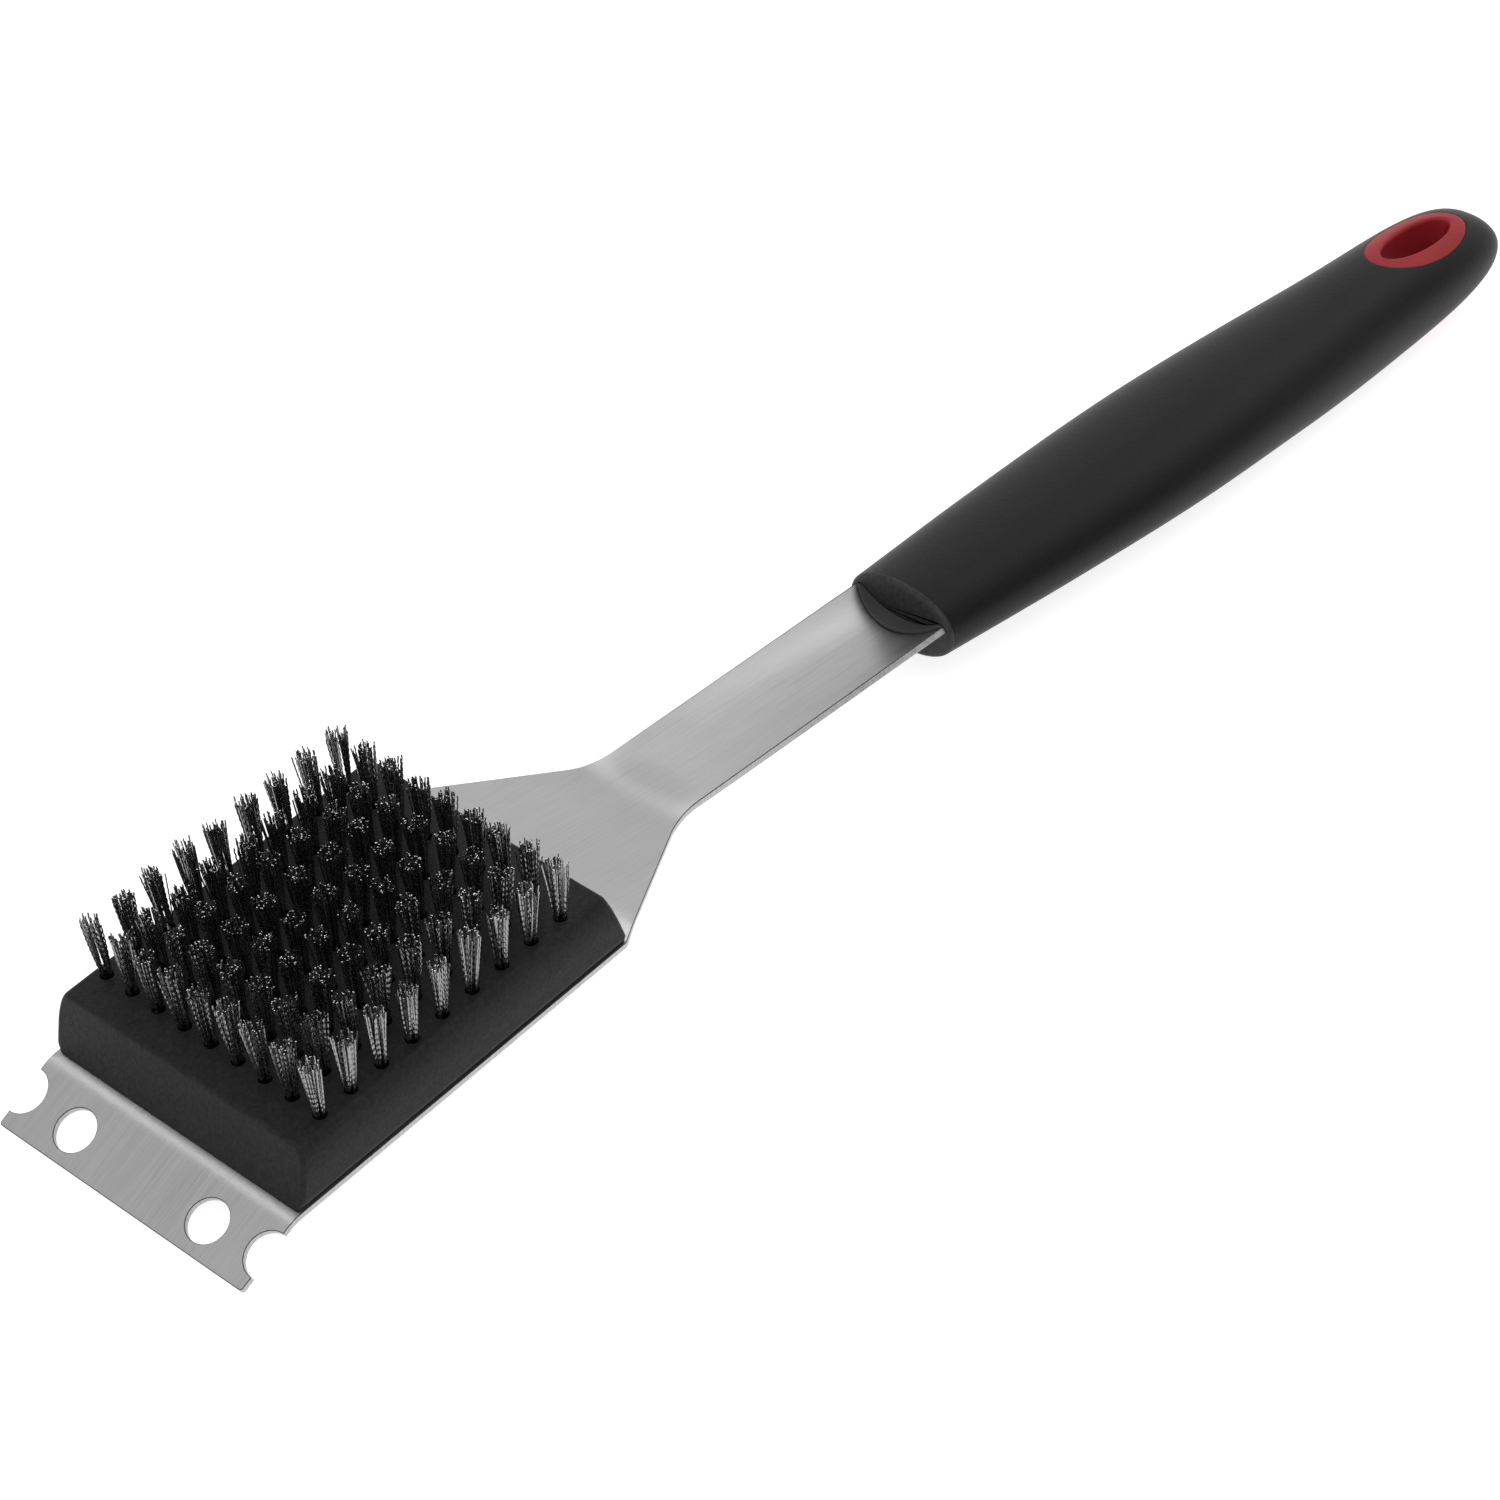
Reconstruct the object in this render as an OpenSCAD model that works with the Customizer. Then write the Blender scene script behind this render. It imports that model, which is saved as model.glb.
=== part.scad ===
// Grill cleaning brush: a stamped steel blade that carries a plastic bristle block at one end
// and a soft-grip handle at the other.
//
// Frame: millimetres, +Z up, +X from the scraper to the handle's tail, symmetric about Y = 0.
// The brush lies on its back, bristles up, on the scraper's front edge and the handle's belly.
// The origin is the centre of the footprint, on the surface that the brush lies on.

/* [Blade] */
// Thickness of the steel sheet
sheet_t = 1.5; // [1.2:0.1:2]
// Width of the scraper and of the plate under the block
plate_w = 70; // [66:1:72]
// Length of the scraper along its own slope
scraper_len = 16.7; // [14:0.1:20]
// How far the scraper is bent down from the plate, in degrees
scraper_angle = 23.7; // [15:0.1:30]
// Width of the strap between the block and the handle
strap_w = 25; // [22:1:28]
// How far the neck falls away from the plate, in degrees
neck_angle = 12.4; // [8:0.1:16]
// How far the strap falls away from the plate, in degrees
strap_angle = 5.3; // [3:0.1:8]
// Depth of the groove pressed along the strap, at the handle's mouth
dish_depth = 4.4; // [3:0.1:5]
// Diameter of the two round holes in the scraper
scraper_hole_d = 9.6; // [6:0.1:11]
// Distance between the centres of the two round holes
scraper_hole_gap = 38.2; // [30:0.1:44]
// Radius of the half-round notch at each side of the scraper
notch_r = 5.1; // [4:0.1:6]

/* [Bristle block] */
// Length of the block's top face
block_top_l = 85.7; // [80:0.1:90]
// Length of the block's base
block_base_l = 93.2; // [91:0.1:95]
// Width of the block's top face
block_top_w = 65.4; // [62:0.1:67]
// Greatest width of the block
block_w = 70.8; // [69:0.1:74]
// Height of the block
block_h = 14.5; // [13:0.1:16]
// Distance between tufts along the block
pitch_x = 8.4; // [8:0.1:9]
// Distance between tufts across the block
pitch_y = 7.6; // [7:0.1:7.8]
// Height of the bristles above the block
tuft_h = 15.8; // [10:0.1:20]
// Diameter of a tuft where it leaves the block
tuft_root_d = 2.8; // [2:0.1:3]
// Diameter of a tuft at its tip
tuft_tip_d = 5.4; // [3:0.1:6]

/* [Handle] */
// Length of the handle
handle_l = 224; // [210:1:240]
// Handle widths at six even stations, from mouth to tail
handle_widths = [29.6, 35, 37.8, 35.2, 30, 27.6]; // [24:0.1:42]
// Handle depths at five even stations, from mouth to tail
handle_depths = [17.2, 20.2, 23.2, 24.6, 21]; // [14:0.1:28]
// Heights of the handle's centre line at the same five stations
handle_centres = [15.3, 14.4, 13.5, 12.33, 14]; // [12:0.01:18]
// Thickness of the soft grip over the core
grip_t = 2.6; // [2:0.1:3.2]
// Length of the hang hole
hang_l = 26.4; // [20:0.1:27]
// Width of the hang hole
hang_w = 9; // [7:0.1:10]
// Width of the red liner's rim around the hang hole
liner_t = 4.5; // [3:0.1:4.6]
// Distance from the handle's mouth to the centre of the hang hole
hang_at = 196.8; // [190:0.1:198]

/* [Hidden] */
$fn = 64;

// Lengths that only make a cut or a blank pass clear of the part
over = 0.5;
through = 40;
big = 400;

// Colours
steel = "silver";
black_plastic = [0.13, 0.13, 0.14];
soft_black = [0.17, 0.17, 0.18];
wire_grey = "gray";
liner_red = [0.72, 0.16, 0.2];

// The head frame has its origin at the middle of the block's top face, with X along the plate.
// In the lying pose the plate climbs towards the handle by head_tilt.
head_tilt = 6.4;
plate_z = -block_h;
block_shift = 0.4;

// The blade's upper surface in the head frame, as corner points along its length
bend_x = -48;
neck_x = 50;
neck_l = 34;
mouth_x = 171.8;
plate_end_x = 46.3;
neck_side_angle = 29.7;
plate_corner_r = 3;
neck_fillet_r = 25;
neck_end = [plate_end_x + (plate_w - strap_w) / 2 / tan(neck_side_angle), strap_w / 2];
nose_x = bend_x - scraper_len * cos(scraper_angle);
nose_z = plate_z - scraper_len * sin(scraper_angle);
strap_x = neck_x + neck_l;
strap_z = plate_z - neck_l * tan(neck_angle);
mouth_z = strap_z - (mouth_x - strap_x) * tan(strap_angle);
full_width_in_handle = 10;
tang_w = 16;
tang_l = 112;
tang_x = mouth_x + full_width_in_handle;
blade_end_x = mouth_x + tang_l;
blade_end_z = mouth_z - tang_l * tan(strap_angle);
bend_r = 8;
neck_bend_r = 30;

// The groove: a cylinder whose axis falls faster than the strap, so that it fades out at the neck
dish_r = (pow(strap_w / 2, 2) + pow(dish_depth, 2)) / (2 * dish_depth);
dish_start = 90;
dish_angle = strap_angle + atan(dish_depth / (mouth_x - dish_start));
groove_from = dish_start - 4;
groove_to = mouth_x + tang_l + 6;
groove_sides = 128;

// Scraper holes and notches, measured along the scraper from the bend
hole_along = 9.3;
notch_along = 8.3;

// Tufts, their holes and the anchor wires that hold them: nine rows of nine, a node for each row
tuft_count = 9;
tuft_sides = 24;
hole_clearance = 0.05;
tuft_hole_r = tuft_root_d / 2 + hole_clearance;
tuft_hole_depth = 9;
anchor_t = 0.35;
anchor_h = 1.6;
anchor_w = 3.1;
anchor_lift = 0.8;
row_middle = (tuft_count - 1) / 2;

// Screws that hold the block to the plate
screw_d = 3.5;
screw_l = 12;
screw_head_d = 7.4;
screw_head_h = 2.2;
screw_x = 2.5 * pitch_x;
screw_y = 2.5 * pitch_y;
screw_hole_gap = 0.2;
recess_l = 4.4;
recess_w = 1;
recess_depth = 1.2;

// Block side walls: a quarter ellipse below the top edge, then an upright band and a tucked foot
block_side_h = 7.9;
block_foot_h = 1.9;
block_foot_in = 1;

// Handle: where the tail starts to close, in plan and in profile, and how squarely it closes
tail_plan = [0.755, 3.9];
tail_profile = [0.805, 2.9];
section_power = 2.2;
mouth_bevel = 1.2;
mouth_grip_t = 1.3;
grip_grows_over = 30;
front_wall = 2;
core_end = 217;
core_split_x = mouth_x - 20;
groove_filling_x = mouth_x - 3;
tongue_t = 0.8;
tongue_reach = 4.8;
tongue_r = (pow(strap_w / 2, 2) + pow(tongue_reach, 2)) / (2 * tongue_reach);
pin_d = 5;
pin_l = 11;
pin_drop = 9.5;
pin_places = [45, 92];
pin_gap = 0.1;
outer_sides = 48;
core_sides = 32;
tongue_sides = 96;
ring_gap = 10;
even_rings = 17;
tail_rings_from = even_rings * ring_gap + mouth_bevel;
tail_rings_over = handle_l - tail_rings_from;

// The head's place in the part's frame: the underside of the scraper's front edge touches Z = 0
nose_under_x = nose_x + sheet_t * sin(scraper_angle);
nose_under_z = nose_z - sheet_t * cos(scraper_angle);
head_z = -(nose_under_x * sin(head_tilt) + nose_under_z * cos(head_tilt));
front_x = nose_x * cos(head_tilt) - nose_z * sin(head_tilt);
mouth_at = mouth_x * cos(head_tilt) - mouth_z * sin(head_tilt);
tail_at = mouth_at + handle_l;
head_x = -(front_x + tail_at) / 2;

module in_head_frame() {
    translate([head_x, 0, head_z])
        rotate([0, -head_tilt, 0])
            children();
}

module both_sides() {
    children();
    mirror([0, 1, 0])
        children();
}

// ---------------------------------------------------------------- steel blade

function unit(v) = v / norm(v);
function reversed(v) = [for (i = [len(v) - 1:-1:0]) v[i]];

// Points of an arc of radius r that rounds the corner b between a and c
function round_corner(a, b, c, r, steps = 6) =
    let (
        u = unit(a - b),
        v = unit(c - b),
        half = acos(u * v) / 2,
        centre = b + unit(u + v) * (r / sin(half)),
        reach = r / tan(half),
        from = b + u * reach - centre,
        to = b + v * reach - centre
    )
    [for (i = [0:steps]) centre + r * unit(from * (1 - i / steps) + to * (i / steps))];

// A path moved to its right by t, with mitred corners
function right_normal(a, b) = let (d = unit(b - a)) [d.y, -d.x];
function offset_path(p, t) = [
    for (i = [0:len(p) - 1])
        let (
            before = right_normal(p[max(i - 1, 0)], p[max(i, 1)]),
            after = right_normal(p[min(i, len(p) - 2)], p[min(i + 1, len(p) - 1)])
        )
        p[i] + t * (before + after) / (1 + before * after)
];

// Side view of the sheet's upper surface, from the scraper's front edge to the tang's end
nose_point = [nose_x, nose_z];
bend_point = [bend_x, plate_z];
neck_point = [neck_x, plate_z];
strap_point = [strap_x, strap_z];
end_point = [blade_end_x, blade_end_z];
blade_top = [
    nose_point,
    each round_corner(nose_point, bend_point, neck_point, bend_r),
    each round_corner(bend_point, neck_point, strap_point, neck_bend_r),
    each round_corner(neck_point, strap_point, end_point, neck_bend_r),
    end_point,
];

module side_view(points) {
    rotate([90, 0, 0])
        linear_extrude(height = plate_w + 2 * over, center = true)
            polygon(points);
}

// Outline of the sheet seen from above: half of it, mirrored
blade_half = [
    [nose_x - over, 0],
    [nose_x - over, plate_w / 2],
    each round_corner([nose_x, plate_w / 2], [plate_end_x, plate_w / 2], neck_end,
                      plate_corner_r, 3),
    each round_corner([plate_end_x, plate_w / 2], neck_end, [tang_x, strap_w / 2], neck_fillet_r),
    [tang_x, strap_w / 2],
    [tang_x + (strap_w - tang_w) / 2, tang_w / 2],
    [blade_end_x, tang_w / 2],
    [blade_end_x, 0],
];

module blade_plan() {
    translate([0, 0, -big / 4])
        linear_extrude(height = big / 4 + over)
            polygon(concat(blade_half, [for (p = reversed(blade_half)) [p.x, -p.y]]));
}

// The cylinder that presses the groove, or the one that bounds the sheet below it
module groove(r) {
    translate([mouth_x, 0, mouth_z - dish_depth])
        rotate([0, dish_angle, 0])
            translate([groove_from - mouth_x, 0, dish_r])
                rotate([0, 90, 0])
                    cylinder(r = r, h = groove_to - groove_from, $fn = groove_sides);
}

// The space under the strap's upper surface
module under_strap(from_x) {
    translate([mouth_x, 0, mouth_z])
        rotate([0, strap_angle, 0])
            translate([from_x - mouth_x, -big / 4, -through])
                cube([big, big / 2, through]);
}

// Places children on the scraper, at a distance along it from the bend
module on_scraper(along, y) {
    translate([bend_x, 0, plate_z])
        rotate([0, -scraper_angle, 0])
            translate([-along, y, 0])
                children();
}

module drill(r) {
    cylinder(r = r, h = through, center = true);
}

module at_screws() {
    for (x = [-screw_x, screw_x], y = [-screw_y, screw_y])
        translate([x, y, plate_z])
            children();
}

module at_pins() {
    for (along = pin_places)
        translate([mouth_x, 0, mouth_z])
            rotate([0, strap_angle, 0])
                translate([along, 0, 0])
                    children();
}

module steel_blade() {
    color(steel)
        in_head_frame()
            difference() {
                intersection() {
                    blade_plan();
                    union() {
                        side_view(concat(blade_top, reversed(offset_path(blade_top, sheet_t))));
                        intersection() {
                            under_strap(groove_from);
                            groove(dish_r + sheet_t);
                        }
                    }
                }
                groove(dish_r);
                on_scraper(hole_along, scraper_hole_gap / 2)
                    drill(scraper_hole_d / 2);
                on_scraper(hole_along, -scraper_hole_gap / 2)
                    drill(scraper_hole_d / 2);
                on_scraper(notch_along, plate_w / 2)
                    drill(notch_r);
                on_scraper(notch_along, -plate_w / 2)
                    drill(notch_r);
                at_screws()
                    drill(screw_d / 2 + screw_hole_gap);
                at_pins()
                    drill(pin_d / 2 + pin_gap);
            }
}

// ---------------------------------------------------------------- bristle block

block_half_section = [
    [0, 0],
    each [
        for (a = [90:-15:0])
            [block_top_w / 2 + (block_w - block_top_w) / 2 * cos(a), block_side_h * (sin(a) - 1)]
    ],
    [block_w / 2, block_foot_h - block_h],
    [block_w / 2 - block_foot_in, -block_h],
    [0, -block_h],
];

module block_outside() {
    intersection() {
        translate([block_shift, 0, 0])
            rotate([90, 0, 90])
                linear_extrude(height = block_base_l + 2, center = true)
                    polygon(concat(block_half_section,
                                   [for (p = reversed(block_half_section)) [-p.x, p.y]]));
        translate([block_shift, 0, 0])
            rotate([90, 0, 0])
                linear_extrude(height = block_w + 2, center = true)
                    polygon([
                        [-block_top_l / 2, 0], [block_top_l / 2, 0],
                        [block_base_l / 2, -block_h], [-block_base_l / 2, -block_h],
                    ]);
    }
}

module at_tufts(row) {
    for (i = [0:tuft_count - 1])
        translate([(row - 1 - row_middle) * pitch_x, (i - row_middle) * pitch_y, 0])
            children();
}

module anchor() {
    translate([-anchor_t / 2, -anchor_w / 2, anchor_lift - tuft_hole_depth])
        cube([anchor_t, anchor_w, anchor_h]);
}

module brush_block() {
    color(black_plastic)
        in_head_frame()
            difference() {
                block_outside();
                for (row = [1:tuft_count])
                    at_tufts(row) {
                        translate([0, 0, -tuft_hole_depth])
                            cylinder(r = tuft_hole_r, h = tuft_hole_depth + over, $fn = tuft_sides);
                        anchor();
                    }
                at_screws()
                    translate([0, 0, -over])
                        cylinder(d = screw_d, h = screw_l - screw_head_h + over);
            }
}

module tuft_row(row) {
    color(wire_grey)
        in_head_frame()
            at_tufts(row)
                difference() {
                    union() {
                        translate([0, 0, -tuft_hole_depth])
                            cylinder(d = tuft_root_d, h = tuft_hole_depth, $fn = tuft_sides);
                        cylinder(d1 = tuft_root_d, d2 = tuft_tip_d, h = tuft_h, $fn = tuft_sides);
                    }
                    anchor();
                }
}

module anchor_row(row) {
    color(steel)
        in_head_frame()
            at_tufts(row)
                anchor();
}

module block_screws() {
    color(steel)
        in_head_frame()
            at_screws() {
                translate([0, 0, -sheet_t])
                    cylinder(d = screw_d, h = screw_l - screw_head_h);
                translate([0, 0, -sheet_t - screw_head_h])
                    difference() {
                        cylinder(d = screw_head_d, h = screw_head_h);
                        for (turn = [0, 90])
                            rotate(turn)
                                translate([-recess_l / 2, -recess_w / 2, -over])
                                    cube([recess_l, recess_w, over + recess_depth]);
                    }
            }
}

// ---------------------------------------------------------------- handle

// Smooth curve through evenly spaced values, for u from 0 to 1
function smooth(v, u) =
    let (
        s = min(max(u, 0), 1) * (len(v) - 1),
        i = min(floor(s), len(v) - 2),
        t = s - i,
        before = i == 0 ? 2 * v[0] - v[1] : v[i - 1],
        after = i == len(v) - 2 ? 2 * v[i + 1] - v[i] : v[i + 2],
        a = v[i],
        b = v[i + 1]
    )
    a + t * ((b - before) / 2 + t * (before - 2.5 * a + 2 * b - after / 2
        + t * (1.5 * (a - b) + (after - before) / 2)));

function closing(u, tail) =
    u <= tail[0] ? 1 : pow(1 - pow((u - tail[0]) / (1 - tail[0]), tail[1]), 1 / tail[1]);
function half_width(x) = smooth(handle_widths, x / handle_l) / 2 * closing(x / handle_l, tail_plan);
function half_depth(x) =
    smooth(handle_depths, x / handle_l) / 2 * closing(x / handle_l, tail_profile);
function centre_height(x) = smooth(handle_centres, x / handle_l);
function grip_at(x) =
    mouth_grip_t + (grip_t - mouth_grip_t) * min(max(x, 0) / grip_grows_over, 1);

function signed_power(v, e) = sign(v) * pow(abs(v), e);
function handle_ring(x, at, inset, sides) = [
    for (i = [0:sides - 1])
        let (a = 360 * i / sides)
        [
            x,
            (half_width(at) - inset) * signed_power(cos(a), 2 / section_power),
            centre_height(at) + (half_depth(at) - inset) * signed_power(sin(a), 2 / section_power),
        ]
];

// Distances of the outer rings from the mouth: even along the grip, closer at the tail
outer_places = [
    for (i = [0:even_rings]) ring_gap * i + mouth_bevel,
    for (a = [each [14:7:84], 88]) tail_rings_from + tail_rings_over * sin(a),
];
outer_rings = [
    handle_ring(0, 0, mouth_bevel, outer_sides),
    for (x = outer_places) handle_ring(x, x, 0, outer_sides),
];
core_places = [front_wall, each [2 * ring_gap:2 * ring_gap:20 * ring_gap], core_end - 8, core_end];
core_rings = [for (x = core_places) handle_ring(x, x, grip_at(x), core_sides)];

// A closed solid through rings of points that share one count
module swept(rings) {
    n = len(rings[0]);
    last = len(rings) - 1;
    polyhedron(
        points = [for (r = rings) each r],
        faces = [
            [for (i = [0:n - 1]) i],
            for (k = [0:last - 1], i = [0:n - 1])
                [k * n + i, (k + 1) * n + i, (k + 1) * n + (i + 1) % n, k * n + (i + 1) % n],
            [for (i = [n - 1:-1:0]) last * n + i],
        ]
    );
}

module in_handle_frame() {
    translate([head_x + mouth_at, 0, 0])
        children();
}

module oval_prism(l, w) {
    translate([hang_at, 0, -over])
        linear_extrude(height = through)
            scale([l / w, 1])
                circle(d = w);
}

module liner_outline() {
    oval_prism(hang_l + 2 * liner_t, hang_w + 2 * liner_t);
}

module pin_bores() {
    in_head_frame()
        at_pins()
            translate([0, 0, -pin_drop])
                cylinder(d = pin_d, h = pin_l);
}

module core_blank() {
    in_handle_frame()
        difference() {
            swept(core_rings);
            liner_outline();
        }
}

// Where the strap and the filling of its groove pass through the handle
module strap_room(r) {
    in_head_frame()
        intersection() {
            blade_plan();
            under_strap(groove_filling_x);
            groove(r);
        }
}

module handle_core_upper() {
    color(black_plastic)
        difference() {
            union() {
                difference() {
                    core_blank();
                    in_head_frame()
                        under_strap(core_split_x);
                }
                intersection() {
                    core_blank();
                    strap_room(dish_r);
                }
                tongue();
            }
            pin_bores();
        }
}

// The crescent that lies in the groove in front of the mouth
module tongue() {
    in_head_frame()
        intersection() {
            under_strap(core_split_x);
            difference() {
                groove(dish_r);
                groove(dish_r - tongue_t);
            }
            translate([mouth_x - tongue_reach + tongue_r, 0, mouth_z])
                cylinder(r = tongue_r, h = through, center = true, $fn = tongue_sides);
        }
}

module handle_core_lower() {
    color(black_plastic)
        difference() {
            intersection() {
                core_blank();
                in_head_frame()
                    under_strap(core_split_x);
            }
            strap_room(dish_r + sheet_t);
            pin_bores();
        }
}

module tang_pins() {
    color(steel)
        pin_bores();
}

// The slot in the grip's front wall, through which the strap and the tongue pass
module front_slot() {
    difference() {
        strap_room(dish_r + sheet_t);
        in_head_frame()
            groove(dish_r - tongue_t);
    }
}

module grip_sleeve() {
    color(soft_black)
        difference() {
            in_handle_frame()
                difference() {
                    swept(outer_rings);
                    swept(core_rings);
                    liner_outline();
                }
            front_slot();
        }
}

module hang_hole_liner() {
    color(liner_red)
        in_handle_frame()
            intersection() {
                swept(outer_rings);
                difference() {
                    liner_outline();
                    translate([0, 0, -over])
                        oval_prism(hang_l, hang_w);
                }
            }
}

// ---------------------------------------------------------------- drawing

steel_blade();
brush_block();
tuft_row(1);  // tuft_row_1
tuft_row(2);  // tuft_row_2
tuft_row(3);  // tuft_row_3
tuft_row(4);  // tuft_row_4
tuft_row(5);  // tuft_row_5
tuft_row(6);  // tuft_row_6
tuft_row(7);  // tuft_row_7
tuft_row(8);  // tuft_row_8
tuft_row(9);  // tuft_row_9
anchor_row(1);  // anchor_row_1
anchor_row(2);  // anchor_row_2
anchor_row(3);  // anchor_row_3
anchor_row(4);  // anchor_row_4
anchor_row(5);  // anchor_row_5
anchor_row(6);  // anchor_row_6
anchor_row(7);  // anchor_row_7
anchor_row(8);  // anchor_row_8
anchor_row(9);  // anchor_row_9
block_screws();
handle_core_upper();
handle_core_lower();
tang_pins();
grip_sleeve();
hang_hole_liner();
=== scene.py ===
"""Grill cleaning brush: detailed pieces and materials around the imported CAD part.

Lengths are in millimetres, as in the CAD source, until a mesh is made. The head frame has its origin at the
middle of the bristle block's top face, with X along the plate towards the handle. The handle frame has its
origin at the handle's mouth, on the surface that the brush lies on. The row frame is the part's own.
"""

import math
import random

import bmesh
import bpy
import numpy as np
from mathutils import Matrix, Vector
from mathutils.geometry import delaunay_2d_cdt


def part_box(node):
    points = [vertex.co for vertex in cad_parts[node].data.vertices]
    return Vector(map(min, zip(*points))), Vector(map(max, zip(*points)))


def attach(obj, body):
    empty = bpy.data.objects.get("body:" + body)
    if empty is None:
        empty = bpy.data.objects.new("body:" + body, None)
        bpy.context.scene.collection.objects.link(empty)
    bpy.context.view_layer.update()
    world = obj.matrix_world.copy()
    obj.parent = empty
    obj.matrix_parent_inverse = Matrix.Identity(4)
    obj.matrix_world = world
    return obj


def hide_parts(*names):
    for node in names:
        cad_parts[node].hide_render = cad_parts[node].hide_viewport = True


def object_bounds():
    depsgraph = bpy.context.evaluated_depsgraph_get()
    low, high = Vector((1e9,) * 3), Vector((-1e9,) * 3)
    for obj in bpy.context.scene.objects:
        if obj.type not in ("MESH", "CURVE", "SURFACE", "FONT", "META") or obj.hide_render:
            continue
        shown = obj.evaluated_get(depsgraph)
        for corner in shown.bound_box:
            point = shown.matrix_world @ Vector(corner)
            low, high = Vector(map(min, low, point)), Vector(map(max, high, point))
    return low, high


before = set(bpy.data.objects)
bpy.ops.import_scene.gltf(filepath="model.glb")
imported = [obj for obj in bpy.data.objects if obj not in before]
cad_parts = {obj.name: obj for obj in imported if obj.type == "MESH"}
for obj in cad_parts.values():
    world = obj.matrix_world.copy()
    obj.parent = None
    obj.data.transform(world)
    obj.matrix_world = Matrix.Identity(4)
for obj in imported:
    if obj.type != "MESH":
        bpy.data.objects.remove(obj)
cad_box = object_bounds()
MM = 0.001

# ---------------------------------------------------------------- sizes, as in the CAD source

# The sheet. Angles are in degrees, and each X is a place in the head frame.
SHEET_T, PLATE_W, STRAP_W = 1.5, 70.0, 25.0
SCRAPER_LEN, SCRAPER_ANGLE, BEND_X, BEND_R = 16.7, 23.7, -48.0, 8.0
NECK_X, NECK_L, NECK_ANGLE, STRAP_ANGLE, NECK_BEND_R = 50.0, 34.0, 12.4, 5.3, 30.0
PLATE_END_X, NECK_SIDE_ANGLE, PLATE_CORNER_R, NECK_FILLET_R = 46.3, 29.7, 3.0, 25.0
MOUTH_X, TANG_W, TANG_L, FULL_WIDTH_IN_HANDLE = 171.8, 16.0, 112.0, 10.0
HOLE_R, HOLE_GAP, HOLE_ALONG = 4.8, 38.2, 9.3
NOTCH_R, NOTCH_ALONG, NOSE_CORNER_R = 5.1, 8.3, 0.7

# The bristle block and its tufts.
BLOCK_TOP_L, BLOCK_BASE_L, BLOCK_TOP_W, BLOCK_W, BLOCK_H = 85.7, 93.2, 65.4, 70.8, 14.5
BLOCK_SHIFT, BLOCK_SIDE_H, BLOCK_FOOT_H, BLOCK_FOOT_IN = 0.4, 7.9, 1.9, 1.0
TUFTS, PITCH_X, PITCH_Y, TUFT_H = 9, 8.4, 7.6, 15.8

# The handle: widths, depths and heights of its middle, evenly spaced from the mouth to the tail. At the
# tail its outline closes from a share of the length on, with a power.
HANDLE_L = 224.0
HANDLE_WIDTHS = [29.6, 35, 37.8, 35.2, 30, 27.6]
HANDLE_DEPTHS = [17.2, 20.2, 23.2, 24.6, 21]
HANDLE_CENTRES = [15.3, 14.4, 13.5, 12.33, 14]
TAIL_PLAN, TAIL_PROFILE, SECTION_POWER = (0.755, 3.9), (0.805, 2.9), 2.2
GRIP_T, MOUTH_GRIP_T, GRIP_GROWS_OVER, CORE_END = 2.6, 1.3, 30.0, 217.0
HANG_L, HANG_W, LINER_T, HANG_AT = 26.4, 9.0, 4.5, 196.8

# ---------------------------------------------------------------- frames

HEAD_TILT = math.radians(6.4)
TILT_COS, TILT_SIN = math.cos(HEAD_TILT), math.sin(HEAD_TILT)
block_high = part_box("brush_block")[1] / MM
HEAD_X = block_high.x - (BLOCK_BASE_L / 2 + BLOCK_SHIFT) * TILT_COS - BLOCK_H * TILT_SIN
HEAD_Z = block_high.z - (BLOCK_TOP_L / 2 + BLOCK_SHIFT) * TILT_SIN
HANDLE_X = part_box("grip_sleeve")[0].x / MM


def from_head(points):
    """Head frame to row frame."""
    x, y, z = np.asarray(points, float).T
    return np.stack([HEAD_X + x * TILT_COS - z * TILT_SIN, y, HEAD_Z + x * TILT_SIN + z * TILT_COS], axis=1)


def from_handle(points):
    """Handle frame to row frame."""
    return np.asarray(points, float) + (HANDLE_X, 0, 0)


# ---------------------------------------------------------------- mesh helpers

# Angles in degrees from which an edge stays crisp or is rounded, and distances in metres within which points
# are joined.
CRISP_ANGLE, ROUNDED_ANGLE = 35, 40
JOINED_WITHIN, CAD_JOINED_WITHIN = 2e-7, 2e-6
MITRE_LIMIT = 0.4


class Builder:
    """Points and faces of one mesh in the making."""

    def __init__(self):
        self.points, self.faces, self.count = [], [], 0

    def add(self, points):
        """Adds points and returns their numbers."""
        self.points.append(np.asarray(points, float))
        start = self.count
        self.count += len(points)
        return list(range(start, self.count))

    def add_flat(self, flat, third):
        """Adds flat points that share a third coordinate and returns their numbers."""
        return self.add(np.column_stack([flat, np.full(len(flat), third)]))

    def all(self):
        """Every point so far."""
        return np.concatenate(self.points)


def new_piece(name, mesh, crisp=CRISP_ANGLE):
    """An object for a mesh, smooth-shaded, whose edges above the angle crisp, in degrees, stay crisp."""
    mesh.shade_smooth()
    mesh.set_sharp_from_angle(angle=math.radians(crisp))
    piece = bpy.data.objects.new(name, mesh)
    bpy.context.collection.objects.link(piece)
    return piece


def fill_mesh(name, points, faces, materials, marked):
    """A mesh from millimetres. Each group of face numbers in marked gets the next material in turn."""
    mesh = bpy.data.meshes.new(name)
    mesh.from_pydata((np.asarray(points) * MM).tolist(), [], faces)
    for material in materials:
        mesh.materials.append(material)
    for index, group in enumerate(marked, 1):
        for number in group:
            mesh.polygons[number].material_index = index
    return mesh


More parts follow.
